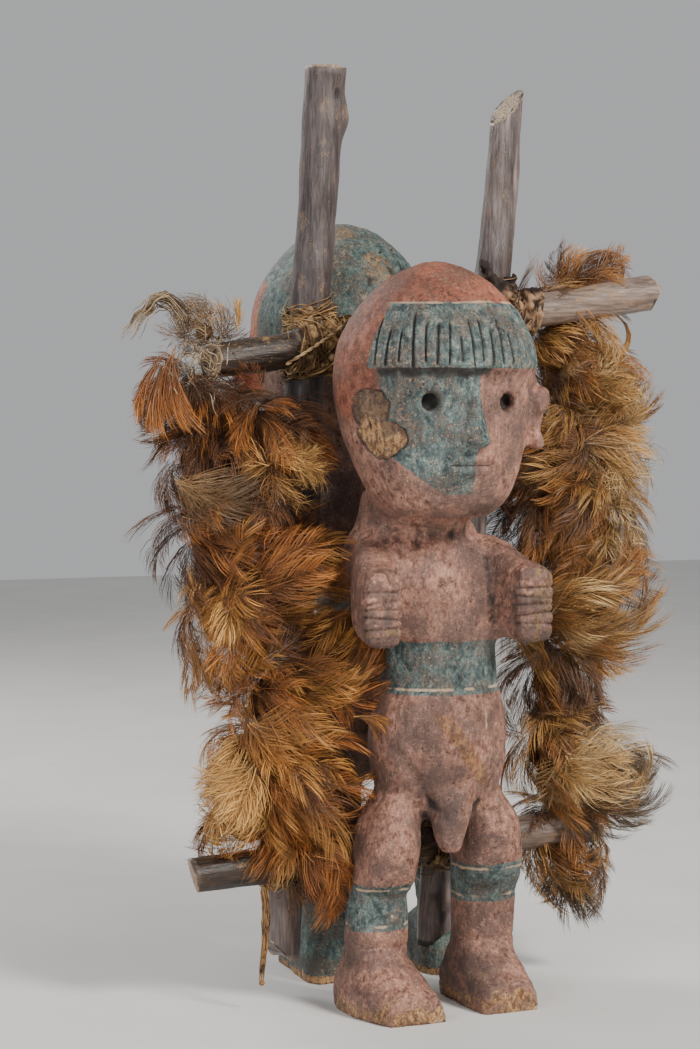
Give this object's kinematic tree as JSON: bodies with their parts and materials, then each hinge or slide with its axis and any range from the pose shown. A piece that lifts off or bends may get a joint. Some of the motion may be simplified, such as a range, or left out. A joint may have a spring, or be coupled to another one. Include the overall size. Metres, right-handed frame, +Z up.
{
  "type": "pair of ancestor figures",
  "caption": "Carved and painted wooden figures standing back to back on a lashed stick frame with a rope of feathers down each side.",
  "frame": {"origin": "centre of the bounding box's bottom face, on the ground between the two pairs of feet, measured without the loose tie end", "axes": "+Z up, the front figure faces -Y and its companion faces +Y, the cross sticks run along X"},
  "size_m": [0.3154, 0.2634, 0.5032],
  "materials": {
    "front_paint": "worn matt earth paint",
    "back_paint": "worn matt earth paint",
    "upright_bark": "peeled and handled, faint sheen",
    "cross_bark": "peeled, dry",
    "raffia": "dry plant fibre",
    "cord_fibre": "dry plant fibre",
    "feathers": "soft, slightly glossy vanes"
  },
  "bodies": {
    "root": {"front_figure": "front_paint", "back_figure": "back_paint", "left_upright": "upright_bark", "right_upright": "upright_bark", "top_cross_stick": "cross_bark", "bottom_cross_stick": "cross_bark", "lashing_top_left": "raffia", "lashing_top_right": "raffia", "lashing_bottom_left": "raffia", "lashing_bottom_right": "raffia", "neck_cord": "cord_fibre", "tie_end": "cord_fibre", "feather_rope_left": "feathers", "feather_rope_right": "feathers"}
  },
  "joints": []
}
